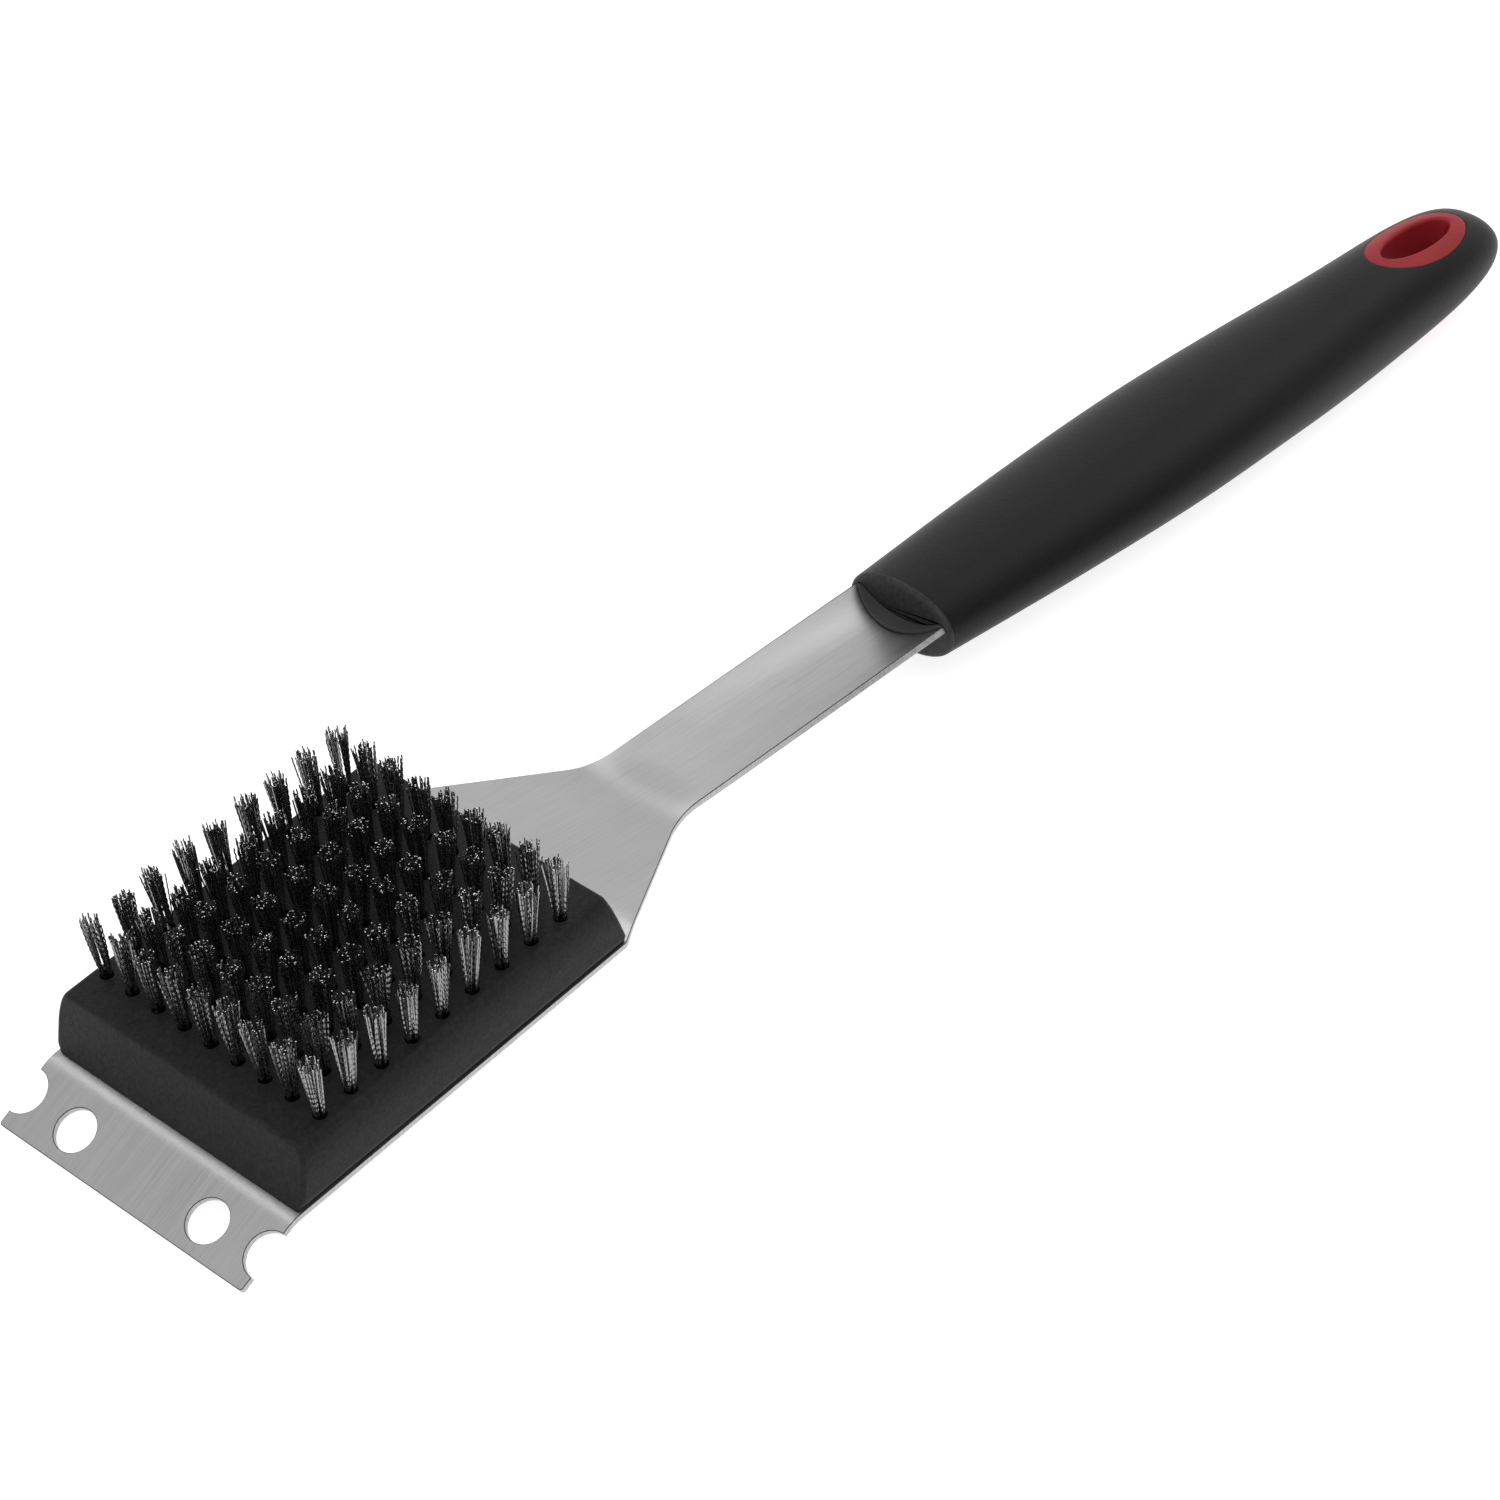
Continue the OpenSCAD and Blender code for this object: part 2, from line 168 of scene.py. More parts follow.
def make_mesh(name, points, faces, materials, marked=()):
    """A piece with points that coincide joined, all faces outwards, and true directions on large faces."""
    mesh = fill_mesh(name, points, faces, materials, marked)
    bm = bmesh.new()
    bm.from_mesh(mesh)
    bmesh.ops.remove_doubles(bm, verts=bm.verts, dist=JOINED_WITHIN)
    bmesh.ops.dissolve_degenerate(bm, edges=bm.edges, dist=JOINED_WITHIN / 2)
    bmesh.ops.recalc_face_normals(bm, faces=bm.faces)
    bm.to_mesh(mesh)
    bm.free()
    piece = new_piece(name, mesh)
    even_normals(piece)
    return piece


def even_normals(piece):
    """Large faces keep their own direction beside small rounded edges."""
    piece.modifiers.new("even_normals", "WEIGHTED_NORMAL").keep_sharp = True


def softened(node, width, material):
    """A copy of a CAD node with the edges of its own shape rounded by width, in millimetres."""
    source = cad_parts[node]
    bm = bmesh.new()
    bm.from_mesh(source.data)
    bmesh.ops.remove_doubles(bm, verts=bm.verts, dist=CAD_JOINED_WITHIN)
    bmesh.ops.dissolve_limit(bm, angle_limit=math.radians(0.5), verts=bm.verts, edges=bm.edges)
    mesh = bpy.data.meshes.new(node + "_soft")
    bm.to_mesh(mesh)
    bm.free()
    mesh.materials.append(material)
    piece = new_piece(node + "_soft", mesh)
    piece.matrix_world = source.matrix_world.copy()
    bevel = piece.modifiers.new("rounding", "BEVEL")
    bevel.width, bevel.segments, bevel.limit_method = width * MM, 3, "ANGLE"
    bevel.angle_limit, bevel.use_clamp_overlap = math.radians(ROUNDED_ANGLE), False
    even_normals(piece)
    declare(piece, node)


def declare(piece, node):
    """The piece rides on the only body and stands for a CAD node."""
    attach(piece, "root")
    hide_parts(node)


def strips(loops, closed=True):
    """Quads between consecutive loops of vertex numbers."""
    faces = []
    for a, b in zip(loops, loops[1:]):
        n = len(a)
        for i in range(n if closed else n - 1):
            j = (i + 1) % n
            faces.append((a[i], b[i], b[j], a[j]))
    return faces


def unit(v):
    """The direction of a vector."""
    return v / np.linalg.norm(v)


def round_corner(a, b, c, r, steps):
    """Points of an arc of radius r that rounds the corner b between a and c."""
    a, b, c = (np.asarray(p, float) for p in (a, b, c))
    u, v = unit(a - b), unit(c - b)
    half = math.acos(max(-1, min(1, float(u @ v)))) / 2
    centre = b + unit(u + v) * (r / math.sin(half))
    reach = r / math.tan(half)
    start, stop = b + u * reach - centre, b + v * reach - centre
    return [centre + r * unit(start * (1 - i / steps) + stop * i / steps) for i in range(steps + 1)]


def subdivide(path, spacing):
    """A path that keeps its own points and gets more where they are far apart."""
    path = np.asarray(path, float)
    out = []
    for a, b in zip(path, path[1:]):
        n = max(1, int(math.ceil(np.linalg.norm(b - a) / spacing)))
        out += [a + (b - a) * i / n for i in range(n)]
    return np.array(out + [path[-1]])


def distances(path):
    """How far along a path each of its points is."""
    return np.concatenate([[0], np.cumsum(np.linalg.norm(np.diff(path, axis=0), axis=1))])


def inward(loop):
    """Unit normals of a closed flat loop, to its left, longer at corners so that an offset stays even."""
    before = loop - np.roll(loop, 1, axis=0)
    after = np.roll(loop, -1, axis=0) - loop
    before /= np.linalg.norm(before, axis=1)[:, None]
    after /= np.linalg.norm(after, axis=1)[:, None]
    n1 = np.stack([-before[:, 1], before[:, 0]], axis=1)
    n2 = np.stack([-after[:, 1], after[:, 0]], axis=1)
    return (n1 + n2) / np.maximum(1 + np.sum(n1 * n2, axis=1), MITRE_LIMIT)[:, None]


def inside(points, loop):
    """Which points are inside a closed flat loop."""
    x, y = points[:, 0][:, None], points[:, 1][:, None]
    ax, ay = loop.T
    bx, by = np.roll(loop, -1, axis=0).T
    crosses = (ay > y) != (by > y)
    at = ax + (y - ay) * (bx - ax) / np.where(by == ay, 1e-12, by - ay)
    return np.sum(crosses & (x < at), axis=1) % 2 == 1


def between_loops(points, loops):
    """Which points are inside the first loop and outside the others."""
    keep = inside(points, loops[0])
    for hole in loops[1:]:
        keep &= ~inside(points, hole)
    return keep


def triangles(loops, extra=None):
    """Triangles over the area between the first loop and the others, with the extra points in them."""
    points = np.concatenate(loops if extra is None else [*loops, extra])
    edges, start = [], 0
    for loop in loops:
        n = len(loop)
        edges += [(start + i, start + (i + 1) % n) for i in range(n)]
        start += n
    out = delaunay_2d_cdt([Vector(p) for p in points.tolist()], edges, [], 0, 1e-9)
    source = [ids[0] if ids else -1 for ids in out[3]]
    faces = np.array([[source[i] for i in f] for f in out[2]])
    return faces[between_loops(points[faces].mean(axis=1), loops)].tolist()


def grid_inside(loops, spacing, margin):
    """A staggered grid of points inside the first loop, outside the others, and clear of them all."""
    low, high = loops[0].min(axis=0), loops[0].max(axis=0)
    xs = np.arange(low[0] + spacing / 2, high[0], spacing)
    ys = np.arange(low[1] + spacing / 2, high[1], spacing)
    points = np.array([(x, y + (i % 2) * spacing / 2) for i, x in enumerate(xs) for y in ys])
    rim = np.concatenate(loops)
    gap = np.array([np.min(np.linalg.norm(rim - p, axis=1)) for p in points])
    return points[between_loops(points, loops) & (gap > margin)]


def circle(x, y, r, n):
    """A ring of n points, clockwise."""
    angles = [-2 * math.pi * i / n for i in range(n)]
    return np.array([(x + r * math.cos(a), y + r * math.sin(a)) for a in angles])


# ---------------------------------------------------------------- steel blade

# The strap's groove sets in at DISH_FROM and reaches its depth at the mouth. Inside the handle it deepens
# until its run is DISH_BEYOND times as long.
DISH_FROM, DISH_DEPTH, DISH_POWER, DISH_EASE, DISH_BEYOND = 84.0, 4.4, 0.66, 12.0, 1.3
# Steps of a bend, and spacings of the points on the outline and inside it.
BEND_STEPS, SHEET_SPACING, SHEET_GRID, SHEET_GRID_MARGIN = 12, 2.0, 2.2, 0.7
EDGE_ROUND, NOTCH_POINTS, HOLE_SIDES = 0.16, 29, 56


def blade_profile():
    """The sheet's upper surface from the side, as distances along it and points in X and Z."""
    plate_z = -BLOCK_H
    angle = math.radians(SCRAPER_ANGLE)
    nose = (BEND_X - SCRAPER_LEN * math.cos(angle), plate_z - SCRAPER_LEN * math.sin(angle))
    bend, neck = (BEND_X, plate_z), (NECK_X, plate_z)
    strap = (NECK_X + NECK_L, plate_z - NECK_L * math.tan(math.radians(NECK_ANGLE)))
    end_x = MOUTH_X + TANG_L
    end = (end_x, strap[1] - (end_x - strap[0]) * math.tan(math.radians(STRAP_ANGLE)))
    path = [
        nose,
        *round_corner(nose, bend, neck, BEND_R, BEND_STEPS),
        *round_corner(bend, neck, strap, NECK_BEND_R, BEND_STEPS),
        *round_corner(neck, strap, end, NECK_BEND_R, BEND_STEPS),
        end,
    ]
    path = subdivide(path, SHEET_SPACING)
    return distances(path), path[:, 0], path[:, 1]


PROFILE_S, PROFILE_X, PROFILE_Z = blade_profile()


def along_at(x):
    """Distance along the sheet of a place X in the head frame."""
    return float(np.interp(x, PROFILE_X, PROFILE_S))


def dish(x, y):
    """Depth of the groove pressed into the strap: an arc across it that fades out at the neck."""
    run = np.clip((x - DISH_FROM) / (MOUTH_X - DISH_FROM), 0, DISH_BEYOND)
    ease = np.clip((x - DISH_FROM) / DISH_EASE, 0, 1)
    ease = ease * ease * (3 - 2 * ease)
    across = 1 - (y / (STRAP_W / 2)) ** 2
    return DISH_DEPTH * run ** DISH_POWER * ease * across


def blade_surface(flat):
    """Points of the blank, flat, to points of the bent blade's upper surface."""
    s, y = flat[:, 0], flat[:, 1]
    x = np.interp(s, PROFILE_S, PROFILE_X)
    z = np.interp(s, PROFILE_S, PROFILE_Z) - dish(x, y)
    return np.stack([x, y, z], axis=1)


def blade_place(flat, depth):
    """Points of the blank, flat, to points of the bent blade at a depth below its upper surface."""
    step = 0.05
    ds = blade_surface(flat + (step, 0)) - blade_surface(flat - (step, 0))
    ds[:, 0] = np.maximum(ds[:, 0], 1e-6)
    dy = blade_surface(flat + (0, step)) - blade_surface(flat - (0, step))
    normal = np.cross(ds, dy)
    normal /= np.linalg.norm(normal, axis=1)[:, None]
    return blade_surface(flat) - normal * np.asarray(depth)[:, None]


def blade_outlines():
    """The blank's outline and its two holes, unrolled flat."""
    half, strap = PLATE_W / 2, STRAP_W / 2
    notch_s = SCRAPER_LEN - NOTCH_ALONG
    notch = [
        (notch_s + NOTCH_R * math.cos(a), half - NOTCH_R * math.sin(a))
        for a in np.linspace(0, math.pi, NOTCH_POINTS)
    ]
    plate_end = (along_at(PLATE_END_X), half)
    neck_run = (PLATE_W - STRAP_W) / 2 / math.tan(math.radians(NECK_SIDE_ANGLE))
    neck_end = (along_at(PLATE_END_X + neck_run), strap)
    tang = (along_at(MOUTH_X + FULL_WIDTH_IN_HANDLE), strap)
    narrow = (along_at(MOUTH_X + FULL_WIDTH_IN_HANDLE + (STRAP_W - TANG_W) / 2), TANG_W / 2)
    end = PROFILE_S[-1]
    upper = [
        (end, 0), (end, TANG_W / 2), narrow, tang,
        *round_corner(tang, neck_end, plate_end, NECK_FILLET_R, steps=14),
        *round_corner(neck_end, plate_end, notch[0], PLATE_CORNER_R, steps=6),
        *notch,
        *round_corner(notch[-1], (0, half), (0, 0), NOSE_CORNER_R, steps=5),
        (0, 0),
    ]
    upper = subdivide(upper, SHEET_SPACING)
    lower = upper[::-1] * (1, -1)
    outline = np.concatenate([upper, lower[1:-1]])
    hole_s = SCRAPER_LEN - HOLE_ALONG
    holes = [circle(hole_s, side * HOLE_GAP / 2, HOLE_R, HOLE_SIDES) for side in (1, -1)]
    return [outline, *holes]


def sheet_edge():
    """Inset and depth of the loops of the sheet's edge, from its upper to its lower surface."""
    arc = [math.radians(a) for a in (90, 60, 30, 0)]
    upper = [(EDGE_ROUND * (1 - math.cos(a)), EDGE_ROUND * (1 - math.sin(a))) for a in arc]
    return upper + [(inset, SHEET_T - depth) for inset, depth in reversed(upper)]


def make_blade(material, edge_material, roll_shade_material):
    """The sheet with its sheared edges, whose upper rounding is the roll that a punch leaves; the roll's
    near-black colour is painted shade, a dark line along the edge. Its points are gathered on the flat blank,
    with their depths, and bent at the end."""
    mesh = Builder()
    loops, edge = blade_outlines(), sheet_edge()
    ways = [inward(loop) for loop in loops]
    rims = [loop + way * edge[0][0] for loop, way in zip(loops, ways)]
    grid = grid_inside(rims, SHEET_GRID, SHEET_GRID_MARGIN)
    surfaces = []
    for inset, depth in (edge[0], edge[-1]):
        surfaces.append([mesh.add_flat(loop + way * inset, depth) for loop, way in zip(loops, ways)])
        mesh.add_flat(grid, depth)
    roll_faces, cut_faces = [], []
    rolled = len(edge) // 2 - 1
    for loop, way, upper, lower in zip(loops, ways, *surfaces):
        between = [mesh.add_flat(loop + way * inset, depth) for inset, depth in edge[1:-1]]
        rings = [upper, *between, lower]
        roll_faces += strips(rings[:rolled + 1])
        cut_faces += strips(rings[rolled:])
    faces = triangles(rims, grid)
    under = surfaces[1][0][0]
    faces += [[under + i for i in reversed(f)] for f in faces]
    roll_from = len(faces)
    cut_from = roll_from + len(roll_faces)
    faces += roll_faces + cut_faces
    marked = range(cut_from, len(faces)), range(roll_from, cut_from)
    blank = mesh.all()
    points = from_head(blade_place(blank[:, :2], blank[:, 2]))
    piece = make_mesh("blade", points, faces, (material, edge_material, roll_shade_material), marked)
    declare(piece, "steel_blade")


# ---------------------------------------------------------------- bristle block

BLOCK_TOP_ROUND, BLOCK_BASE_ROUND, BLOCK_CORNER_R, CORNER_STEPS = 0.7, 0.35, 1.1, 6
# Sections just over and under the top of the foot, and how far over it the foot's step sets in.
FOOT_OVER, FOOT_UNDER, FOOT_EASE = 0.5, 0.4, 0.15
# A straight longer than this is split into so many steps.
LONG_STRAIGHT, STRAIGHT_STEPS = 10, 12
TUFT_HOLE_R, TUFT_HOLE_DEPTH, TUFT_HOLE_LIP, TUFT_HOLE_SIDES = 1.45, 9.0, 0.15, 20


def rounded_rectangle(half_l, half_w, r):
    """Anticlockwise, with points along the straights too."""
    points = []
    for sx, sy, turn in ((1, -1, -90), (1, 1, 0), (-1, 1, 90), (-1, -1, 180)):
        for k in range(CORNER_STEPS + 1):
            a = math.radians(turn + 90 * k / CORNER_STEPS)
            points.append((sx * (half_l - r) + r * math.cos(a), sy * (half_w - r) + r * math.sin(a)))
    points.append(points[0])
    out = []
    for a, b in zip(points, points[1:]):
        n = STRAIGHT_STEPS if math.dist(a, b) > LONG_STRAIGHT else 1
        out += [(a[0] + (b[0] - a[0]) * i / n, a[1] + (b[1] - a[1]) * i / n) for i in range(n)]
    return np.array(out)


def round_pull(r, from_edge):
    """How far a rounding of radius r pulls a side in, at a distance from the edge that it rounds."""
    return r - math.sqrt(max(0, r ** 2 - (r - from_edge) ** 2))


def block_levels():
    """Height, half length and half width of the block's horizontal sections, from the top down."""
    side_out = (BLOCK_W - BLOCK_TOP_W) / 2
    foot_z = BLOCK_FOOT_H - BLOCK_H
    heights = [-BLOCK_TOP_ROUND * (1 - math.sin(math.radians(a))) for a in (90, 67, 45, 22, 0)]
    heights += [BLOCK_SIDE_H * (math.sin(math.radians(b)) - 1) for b in (55, 45, 35, 25, 15, 7, 0)]
    heights += [foot_z + FOOT_OVER, foot_z, foot_z - FOOT_UNDER]
    heights += [-BLOCK_H + BLOCK_BASE_ROUND, -BLOCK_H + BLOCK_BASE_ROUND * 0.3, -BLOCK_H]
    levels = []
    for z in heights:
        half_l = (BLOCK_TOP_L + (BLOCK_BASE_L - BLOCK_TOP_L) * -z / BLOCK_H) / 2
        half_w = BLOCK_W / 2
        if z > -BLOCK_TOP_ROUND:
            half_l -= round_pull(BLOCK_TOP_ROUND, -z)
        if z > -BLOCK_SIDE_H:
            half_w = BLOCK_TOP_W / 2 + side_out * math.sqrt(max(0, 1 - (1 + z / BLOCK_SIDE_H) ** 2))
        half_w -= BLOCK_FOOT_IN * max(0, foot_z - z + FOOT_EASE) / BLOCK_FOOT_H
        if z + BLOCK_H < BLOCK_BASE_ROUND:
            pull = round_pull(BLOCK_BASE_ROUND, z + BLOCK_H)
            half_l, half_w = half_l - pull, half_w - pull
        levels.append((z, half_l, half_w))
    return levels


def tuft_places(row):
    """Middles of a row's tufts on the block's top face."""
    middle = (TUFTS - 1) / 2
    return [((row - 1 - middle) * PITCH_X, (i - middle) * PITCH_Y) for i in range(TUFTS)]


def make_block(material):
    """A block with curved sides and a foot that is set in, with a blind hole for each tuft."""
    mesh = Builder()
    levels = [
        (rounded_rectangle(half_l, half_w, BLOCK_CORNER_R) + (BLOCK_SHIFT, 0), z)
        for z, half_l, half_w in block_levels()
    ]
    loops = [mesh.add_flat(*level) for level in levels]
    mesh.faces += strips(loops)
    mesh.faces.append(list(reversed(loops[-1])))
    lip = TUFT_HOLE_LIP
    bore = [
        (TUFT_HOLE_R + lip, 0), (TUFT_HOLE_R + lip * 0.3, -lip * 0.3), (TUFT_HOLE_R, -lip),
        (TUFT_HOLE_R, -TUFT_HOLE_DEPTH),
    ]
    top_loops, numbers = [levels[0][0]], list(loops[0])
    for row in range(1, TUFTS + 1):
        for x, y in tuft_places(row):
            rings = [mesh.add_flat(circle(x, y, r, TUFT_HOLE_SIDES), z) for r, z in bore]
            mesh.faces += strips(rings)
            mesh.faces.append(list(reversed(rings[-1])))
            top_loops.append(circle(x, y, bore[0][0], TUFT_HOLE_SIDES))
            numbers += rings[0]
    mesh.faces += [[numbers[i] for i in f] for f in triangles(top_loops)]
    piece = make_mesh("bristle_block", from_head(mesh.all()), mesh.faces, (material,))
    declare(piece, "brush_block")


# ---------------------------------------------------------------- wire tufts

# Wires in a tuft, from the middle to a corner of a wire, points along it, and its crisp angle.
WIRES, WIRE_R, WIRE_POINTS, WIRE_CRISP = 44, 0.175, 50, 50
# Heights at which a wire and its crimp start, and the shares of a tuft's height that wires reach.
WIRE_START, CRIMP_START, WIRE_SHORTEST, WIRE_LONGEST = -6.0, -1.2, 0.905, 0.975
# The crimp's wave length, half height and drift of phase, and how far a wire bows.
CRIMP_WAVE, CRIMP_SIZE, CRIMP_DRIFT, WIRE_BOW = 1.65, 0.062, 0.7, 0.1
# Where a tuft's two lobes leave the hole, their half sizes there, and how far they are turned.
LOBE_AT, LOBE_HALF_X, LOBE_HALF_Y, LOBE_TURN = 0.75, 0.38, 0.72, math.radians(-23)
# The disc that the tips fill, and the few stray wires that reach past it.
TIP_R, TIP_REACH, TIP_SPREAD, STRAY_SHARE, STRAY_REACH = 2.6, (0.9, 1.04), 0.16, 0.035, (1.2, 1.5)
# A tuft's slope, for each millimetre from the block's middle along and across it, and at random.
LEAN_ALONG, LEAN_ACROSS, LEAN_SPREAD = 0.03 / 34, 0.05 / 31, 0.02
SEED = 900


def wire_path(rng, lobe, lean, crimp_at, height):
    """Centre line of one crimped wire of a tuft, from inside its hole to its cut end. A tuft is folded over
    its anchor, so it leaves the hole as two lobes, which spread into half a disc each. Its wires were crimped
    together, so their waves, whose phase and direction are crimp_at, nearly line up."""
    angle, reach = rng.uniform(-math.pi / 2, math.pi / 2), math.sqrt(rng.random())
    spread = reach * np.array([math.cos(angle), math.sin(angle)])
    root = np.array([lobe * (LOBE_AT + LOBE_HALF_X * (2 * spread[0] - 1)), LOBE_HALF_Y * spread[1]])
    tip = TIP_R * rng.uniform(*TIP_REACH) * spread * (lobe, 1)
    tip += rng.gauss(0, TIP_SPREAD), rng.gauss(0, TIP_SPREAD)
    if rng.random() < STRAY_SHARE:
        tip *= rng.uniform(*STRAY_REACH)
    cos, sin = math.cos(LOBE_TURN), math.sin(LOBE_TURN)
    turn = np.array([[cos, -sin], [sin, cos]])
    root, tip = turn @ root, turn @ tip + np.array(lean) * height
    phase = crimp_at[0] + rng.gauss(0, CRIMP_DRIFT)
    way = crimp_at[1] + rng.gauss(0, CRIMP_DRIFT / 2)
    bow = rng.gauss(0, WIRE_BOW), rng.gauss(0, WIRE_BOW)
    z = np.concatenate([[WIRE_START], np.linspace(CRIMP_START, height, WIRE_POINTS - 1)])
    t = np.clip(z / height, 0, 1)
    crimp = CRIMP_SIZE * np.sin(2 * math.pi * z / CRIMP_WAVE + phase) * np.clip(1 - z / CRIMP_START, 0, 1)
    arch = np.sin(math.pi * t)
    x = root[0] + (tip[0] - root[0]) * t + crimp * math.cos(way) + bow[0] * arch
    y = root[1] + (tip[1] - root[1]) * t + crimp * math.sin(way) + bow[1] * arch
    return np.stack([x, y, z], axis=1)


def wire_mesh(path, start, turn):
    """A square tube round a near-upright centre line, closed at both ends. Its last face is the cut end."""
    angles = [turn + k * math.pi / 2 for k in range(4)]
    corners = np.array([(math.cos(a), math.sin(a), 0) for a in angles])
    points = (path[:, None, :] + WIRE_R * corners[None]).reshape(-1, 3)
    loops = [[start + 4 * i + k for k in range(4)] for i in range(len(path))]
    return points, strips(loops[::-1]) + [loops[0][::-1], loops[-1]]


def make_tuft_row(row, material, glint_material):
    """Nine tufts in one mesh, whose wires are left as they are made."""
    rng = random.Random(SEED + row)
    mesh, cut_ends = Builder(), []
    for x, y in tuft_places(row):
        lean = LEAN_ALONG * x + rng.gauss(0, LEAN_SPREAD), LEAN_ACROSS * y + rng.gauss(0, LEAN_SPREAD)
        crimp_at = rng.uniform(0, 2 * math.pi), rng.uniform(0, math.pi)
        for i in range(WIRES):
            height = TUFT_H * rng.uniform(WIRE_SHORTEST, WIRE_LONGEST)
            path = wire_path(rng, 1 if i % 2 else -1, lean, crimp_at, height)
            wire, sides = wire_mesh(path + (x, y, 0), mesh.count, rng.uniform(0, math.pi))
            mesh.add(wire)
            mesh.faces += sides
            cut_ends.append(len(mesh.faces) - 1)
    name = f"wires_{row}"
    wires = fill_mesh(name, from_head(mesh.all()), mesh.faces, (material, glint_material), [cut_ends])
    declare(new_piece(name, wires, WIRE_CRISP), f"tuft_row_{row}")


# ---------------------------------------------------------------- handle

# Points of a ring round the handle, of the hang hole's rear half, and of its whole oval.
RING_SIDES, REAR_POINTS = 96, 80
OVAL_FRONT, OVAL_POINTS = RING_SIDES // 2, RING_SIDES // 2 + REAR_POINTS
# Behind TAIL_FROM the handle is patches round the hang hole. Their rows crowd together at its outline.
TAIL_FROM, TAIL_TRIM, TAIL_SAMPLES, TAIL_CROWDING = 168.0, 0.04, 400, 2.5
BODY_RINGS, PATCH_ROWS, PATCH_CROWDING = 64, 16, 1.9
FRONT_WALL, MOUTH_ROUND, FRONT_GRID, FRONT_GRID_MARGIN = 2.0, 1.3, 1.2, 0.45
# The slot in the front wall lets through the strap and the tongue on it, with a gap of SEAM round them.
TONGUE_T, TONGUE_HALF, SEAM, SLOT_ROUND = 0.8, 11.3, 0.1, 0.1
SLOT_POINTS_UNDER, SLOT_POINTS_OVER = 31, 27
# The stretch of the blade, before and after the mouth, in which the wall's planes cross it.
CROSSING_BEFORE, CROSSING_AFTER, CROSSING_POINTS = 8, 12, 60
HOLE_EDGE_ROUND, LINER_LIP, LINER_SEAM_DEPTH, LINER_TOP_STEPS, LINER_WALL = 0.16, 1.1, 0.6, 5, (0.3, 2.5)
ROUNDING_ANGLES = np.radians((18, 36, 54, 72, 90))


def smooth(values, u):
    """Smooth curve through evenly spaced values, for u from 0 to 1."""
    v = np.asarray(values, float)
    s = np.clip(u, 0, 1) * (len(v) - 1)
    i = np.minimum(np.floor(s).astype(int), len(v) - 2)
    t = s - i
    padded = np.concatenate([[2 * v[0] - v[1]], v, [2 * v[-1] - v[-2]]])
    before, a, b, after = padded[i], padded[i + 1], padded[i + 2], padded[i + 3]
    bend = before - 2.5 * a + 2 * b - after / 2 + t * (1.5 * (a - b) + (after - before) / 2)
    return a + t * ((b - before) / 2 + t * bend)


def closing(u, tail):
    """A factor that falls from 1 to 0 at the handle's end. tail is the share of the length where the fall
    starts, and its power."""
    start, power = tail
    t = np.clip((u - start) / (1 - start), 0, 1)
    return (1 - t ** power) ** (1 / power)


def half_width(x):
    return smooth(HANDLE_WIDTHS, x / HANDLE_L) / 2 * closing(x / HANDLE_L, TAIL_PLAN)


def half_depth(x):
    return smooth(HANDLE_DEPTHS, x / HANDLE_L) / 2 * closing(x / HANDLE_L, TAIL_PROFILE)


def centre_height(x):
    return smooth(HANDLE_CENTRES, x / HANDLE_L)


def grip_thickness(x):
    return MOUTH_GRIP_T + (GRIP_T - MOUTH_GRIP_T) * np.clip(x / GRIP_GROWS_OVER, 0, 1)


def handle_ring(x, at, inset):
    """The handle's oval section at a place along it, less an inset, standing at x."""
    a = np.linspace(0, 2 * math.pi, RING_SIDES, endpoint=False)
    power = 2 / SECTION_POWER
    y = (half_width(at) - inset) * np.sign(np.cos(a)) * np.abs(np.cos(a)) ** power
    z = centre_height(at) + (half_depth(at) - inset) * np.sign(np.sin(a)) * np.abs(np.sin(a)) ** power
    return np.stack([np.full(RING_SIDES, x), y, z], axis=1)


def handle_height(plan, inset, side):
    """Height of the handle's upper (side 1) or lower (side -1) surface, less an inset, at points in plan."""
    x, y = plan[:, 0], plan[:, 1]
    wide = np.maximum(half_width(x) - inset, 1e-6)
    share = np.clip(np.abs(y) / wide, 0, 1)
    rise = (1 - share ** SECTION_POWER) ** (1 / SECTION_POWER)
    return centre_height(x) + side * (half_depth(x) - inset) * rise


def hang_outline(margin):
    """The oval hang hole's outline with a margin round it, anticlockwise from the middle of its +Y side. The
    front half has fewer points than the tail half, which has the longer outline to meet."""
    half_l, half_w = HANG_L / 2 + margin, HANG_W / 2 + margin
    front = np.linspace(math.pi / 2, 1.5 * math.pi, OVAL_FRONT + 1)[:-1]
    rear = np.linspace(-math.pi / 2, math.pi / 2, REAR_POINTS + 1)[:-1]
    return np.array([(HANG_AT + half_l * math.cos(a), half_w * math.sin(a)) for a in (*front, *rear)])


def tail_outline(inset, end_x):
    """The handle's outline in plan behind TAIL_FROM, from its +Y side round by the front, -Y and the tail."""
    xs = end_x - (end_x - TAIL_FROM) * (np.linspace(1, 0, TAIL_SAMPLES) ** TAIL_CROWDING)
    side = np.stack([xs, np.maximum(half_width(xs) - inset, 0)], axis=1)
    side = np.concatenate([side, [(end_x, 0)]])
    along = distances(side)
    at = np.linspace(0, along[-1], REAR_POINTS // 2 + 1)
    side = np.stack([np.interp(at, along, side[:, k]) for k in range(2)], axis=1)
    front = handle_ring(TAIL_FROM, TAIL_FROM, inset)[:OVAL_FRONT + 1, :2]
    back = side[1:] * (1, -1)
    return np.concatenate([front, back, side[1:-1][::-1]])


